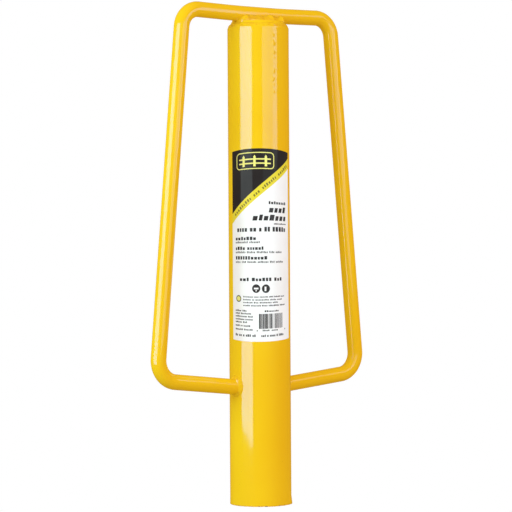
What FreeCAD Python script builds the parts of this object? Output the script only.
import FreeCAD, Part
import math
import os

# Manual post driver: a steel tube closed at one end by a solid steel plug, with one bent round bar
# wrapped over the head to make both hand grips. Everything is welded up, and a printed decal is
# stuck on the tube. Millimetres. The origin is the centre of the open mouth, +Z runs up to the head
# and X lies in the plane of the handles.

V = FreeCAD.Vector
UP = V(0, 0, 1)

# --- driver tube: 3 inch outside, 1/8 inch wall ---
TUBE_R = 38.1
WALL = 3.175
BORE_R = TUBE_R - WALL
TUBE_H = 592.0
RIM_OUTER_CHAMFER = 0.5
RIM_INNER_CHAMFER = 1.0

# --- head plug: a solid slug on a small conical shoulder, standing proud of the tube ---
STRIKE_Z = 533.0
HEAD_Z = 599.0
STRIKE_R = 34.8
SEAT_R = 35.4
PLUG_TOP_R = 33.0
PLUG_CHAMFER_Z = 594.5

# --- handle: one 3/4 inch round bar ---
BAR_R = 9.525
LOWER_CORNER_X = 155.3
LOWER_CORNER_Z = 160.0
UPPER_CORNER_X = 114.1
UPPER_CORNER_Z = 610.4
ARM_RISE_DEG = 6.0
ARM_ROOT_X = 26.0
FLAT_HALF = 34.0
LOWER_BEND_R = 27.0
UPPER_BEND_R = 24.4
CROWN_BEND_R = 180.0

# --- weld beads ---
ARM_BEAD = 4.6
ARM_BEAD_TOE = 5.0
ARM_BEAD_TIP = 0.6
TOP_BEAD_R = 5.2
TOP_BEAD_Y = 9.9
TOP_BEAD_RISE = 1.6
TOP_BEAD_HALF = 30.0
RIM_BEAD_TOE_R = 37.7
RIM_BEAD_MID = (36.6, 594.7)
RIM_BEAD_END = (34.5, 596.3)

# --- decal: thin printed film round a third of the tube, both ends cut to a slight arch ---
LABEL_T = 0.2
LABEL_START_DEG = 174.2
LABEL_SWEEP_DEG = 127.7
LABEL_MID_DEG = 233.0
LABEL_TOP_Z = 440.6
LABEL_BOTTOM_Z = 203.0
LABEL_TOP_ARCH = 7.66
LABEL_BOTTOM_ARCH = 5.5


def revolved(points):
    # Solid of revolution about Z from (radius, height) corners.
    wire = Part.makePolygon([V(r, 0, z) for r, z in points + points[:1]])
    return Part.Face(wire).revolve(V(0, 0, 0), UP, 360)


def driver_tube():
    # The bore ends in a 45 degree shoulder, and above it the wall is bored out to take the plug.
    shoulder_z = STRIKE_Z + (BORE_R - STRIKE_R)
    seat_z = STRIKE_Z + (SEAT_R - STRIKE_R)
    return revolved([
        (BORE_R + RIM_INNER_CHAMFER, 0),
        (TUBE_R - RIM_OUTER_CHAMFER, 0),
        (TUBE_R, RIM_OUTER_CHAMFER),
        (TUBE_R, TUBE_H),
        (SEAT_R, TUBE_H),
        (SEAT_R, seat_z),
        (BORE_R, shoulder_z),
        (BORE_R, RIM_INNER_CHAMFER),
    ])


def head_plug():
    # Its lower edge matches the shoulder, so hammering drives it onto the shoulder, not the weld.
    return revolved([
        (0, STRIKE_Z),
        (STRIKE_R, STRIKE_Z),
        (SEAT_R, STRIKE_Z + (SEAT_R - STRIKE_R)),
        (SEAT_R, PLUG_CHAMFER_Z),
        (PLUG_TOP_R, HEAD_Z),
        (0, HEAD_Z),
    ])


def bent_path(corners, radii):
    # Straight runs joined by tangent arcs at every inner corner.
    edges = []
    start = corners[0]
    for before, corner, after, radius in zip(corners, corners[1:], corners[2:], radii):
        into = (corner - before).normalize()
        away = (after - corner).normalize()
        half = into.getAngle(away) / 2
        setback = radius * math.tan(half)
        arc_start = corner - into * setback
        arc_end = corner + away * setback
        inward = (away - into).normalize()
        centre = corner + inward * (radius / math.cos(half))
        arc_mid = centre - inward * radius
        edges.append(Part.LineSegment(start, arc_start).toShape())
        edges.append(Part.Arc(arc_start, arc_mid, arc_end).toShape())
        start = arc_end
    edges.append(Part.LineSegment(start, corners[-1]).toShape())
    return Part.Wire(edges)


def arm_z(x):
    # Height of a lower arm's axis where it is x from the tube's axis.
    return LOWER_CORNER_Z - (LOWER_CORNER_X - x) * math.tan(math.radians(ARM_RISE_DEG))


def raw_bar():
    # Up one side, flat across the head, and down the other side.
    bar_top_z = HEAD_Z + BAR_R
    right = [
        V(ARM_ROOT_X, 0, arm_z(ARM_ROOT_X)),
        V(LOWER_CORNER_X, 0, LOWER_CORNER_Z),
        V(UPPER_CORNER_X, 0, UPPER_CORNER_Z),
        V(FLAT_HALF, 0, bar_top_z),
    ]
    left = [V(-p.x, 0, p.z) for p in reversed(right)]
    bends = [LOWER_BEND_R, UPPER_BEND_R, CROWN_BEND_R]
    path = bent_path(right + left, bends + bends[::-1])
    profile = Part.Wire(Part.makeCircle(BAR_R, right[0], right[1] - right[0]))
    return path.makePipeShell([profile], True, False)


def tube_blank():
    return Part.makeCylinder(TUBE_R, HEAD_Z)


def handle_bar(bar):
    # Both ends are coped to the tube's outside.
    return bar.cut(tube_blank())


def weld_arm(side):
    # Sloping collar where the arm meets the tube, less what lies inside the tube and the bar.
    root = V(side * ARM_ROOT_X, 0, arm_z(ARM_ROOT_X))
    along = (V(side * LOWER_CORNER_X, 0, LOWER_CORNER_Z) - root).normalize()
    toe_r = BAR_R + ARM_BEAD + (TUBE_R - ARM_ROOT_X)
    tip_r = BAR_R + ARM_BEAD_TIP
    cone = Part.makeCone(toe_r, tip_r, toe_r - tip_r, root, along)
    collar = Part.makeCylinder(BAR_R + ARM_BEAD_TOE, 2 * ARM_ROOT_X, root, along)
    bar = Part.makeCylinder(BAR_R, 2 * ARM_ROOT_X, root, along)
    return collar.common(cone).cut(bar).cut(tube_blank())


def weld_head_rim():
    # Convex fillet all round between the tube's top edge and the plug's side.
    plug_slope = (SEAT_R - PLUG_TOP_R) / (HEAD_Z - PLUG_CHAMFER_Z)
    end_z = RIM_BEAD_END[1]
    end = V(SEAT_R - plug_slope * (end_z - PLUG_CHAMFER_Z), 0, end_z)
    toe = V(RIM_BEAD_TOE_R, 0, TUBE_H)
    mid = V(RIM_BEAD_MID[0], 0, RIM_BEAD_MID[1])
    root = V(SEAT_R, 0, TUBE_H)
    break_point = V(SEAT_R, 0, PLUG_CHAMFER_Z)
    wire = Part.Wire([
        Part.LineSegment(root, toe).toShape(),
        Part.Arc(toe, mid, end).toShape(),
        Part.LineSegment(end, break_point).toShape(),
        Part.LineSegment(break_point, root).toShape(),
    ])
    return Part.Face(wire).revolve(V(0, 0, 0), UP, 360)


def weld_top(side, bar):
    # Bead with rounded ends in the corner between the bar and the plug's top face.
    reach = TOP_BEAD_HALF - TOP_BEAD_R
    y = side * TOP_BEAD_Y
    z = HEAD_Z + TOP_BEAD_RISE
    bead = Part.makeCylinder(TOP_BEAD_R, 2 * reach, V(-reach, y, z), V(1, 0, 0))
    for x in (-reach, reach):
        bead = bead.fuse(Part.makeSphere(TOP_BEAD_R, V(x, y, z)))
    below = Part.makeBox(200, 200, TOP_BEAD_R, V(-100, -100, HEAD_Z - TOP_BEAD_R))
    return bead.removeSplitter().cut(below).cut(bar)


def label():
    # Part of a thin sleeve between two tilted planes, which give its arched ends.
    outer = Part.makeCylinder(TUBE_R + LABEL_T, TUBE_H, V(0, 0, 0), UP, LABEL_SWEEP_DEG)
    sleeve = outer.cut(Part.makeCylinder(TUBE_R, TUBE_H))
    sleeve.rotate(V(0, 0, 0), UP, LABEL_START_DEG - LABEL_MID_DEG)
    far = 2 * TUBE_R
    top_rise = LABEL_TOP_ARCH / TUBE_R
    bottom_drop = LABEL_BOTTOM_ARCH / TUBE_R
    outline = Part.makePolygon([
        V(0, -far, LABEL_BOTTOM_Z + LABEL_BOTTOM_ARCH),
        V(far, -far, LABEL_BOTTOM_Z + LABEL_BOTTOM_ARCH - bottom_drop * far),
        V(far, -far, LABEL_TOP_Z - LABEL_TOP_ARCH + top_rise * far),
        V(0, -far, LABEL_TOP_Z - LABEL_TOP_ARCH),
        V(0, -far, LABEL_BOTTOM_Z + LABEL_BOTTOM_ARCH),
    ])
    wedge = Part.Face(outline).extrude(V(0, 2 * far, 0))
    sheet = sleeve.common(wedge)
    sheet.rotate(V(0, 0, 0), UP, LABEL_MID_DEG)
    return sheet


def build_nodes():
    bar = raw_bar()
    return {
        "driver_tube": driver_tube(),
        "head_plug": head_plug(),
        "handle_bar": handle_bar(bar),
        "weld_head_rim": weld_head_rim(),
        "weld_handle_top_front": weld_top(-1, bar),
        "weld_handle_top_back": weld_top(1, bar),
        "weld_handle_left": weld_arm(-1),
        "weld_handle_right": weld_arm(1),
        "label": label(),
    }


os.makedirs("parts", exist_ok=True)
for name, shape in build_nodes().items():
    shape.exportStep(f"parts/{name}.step")
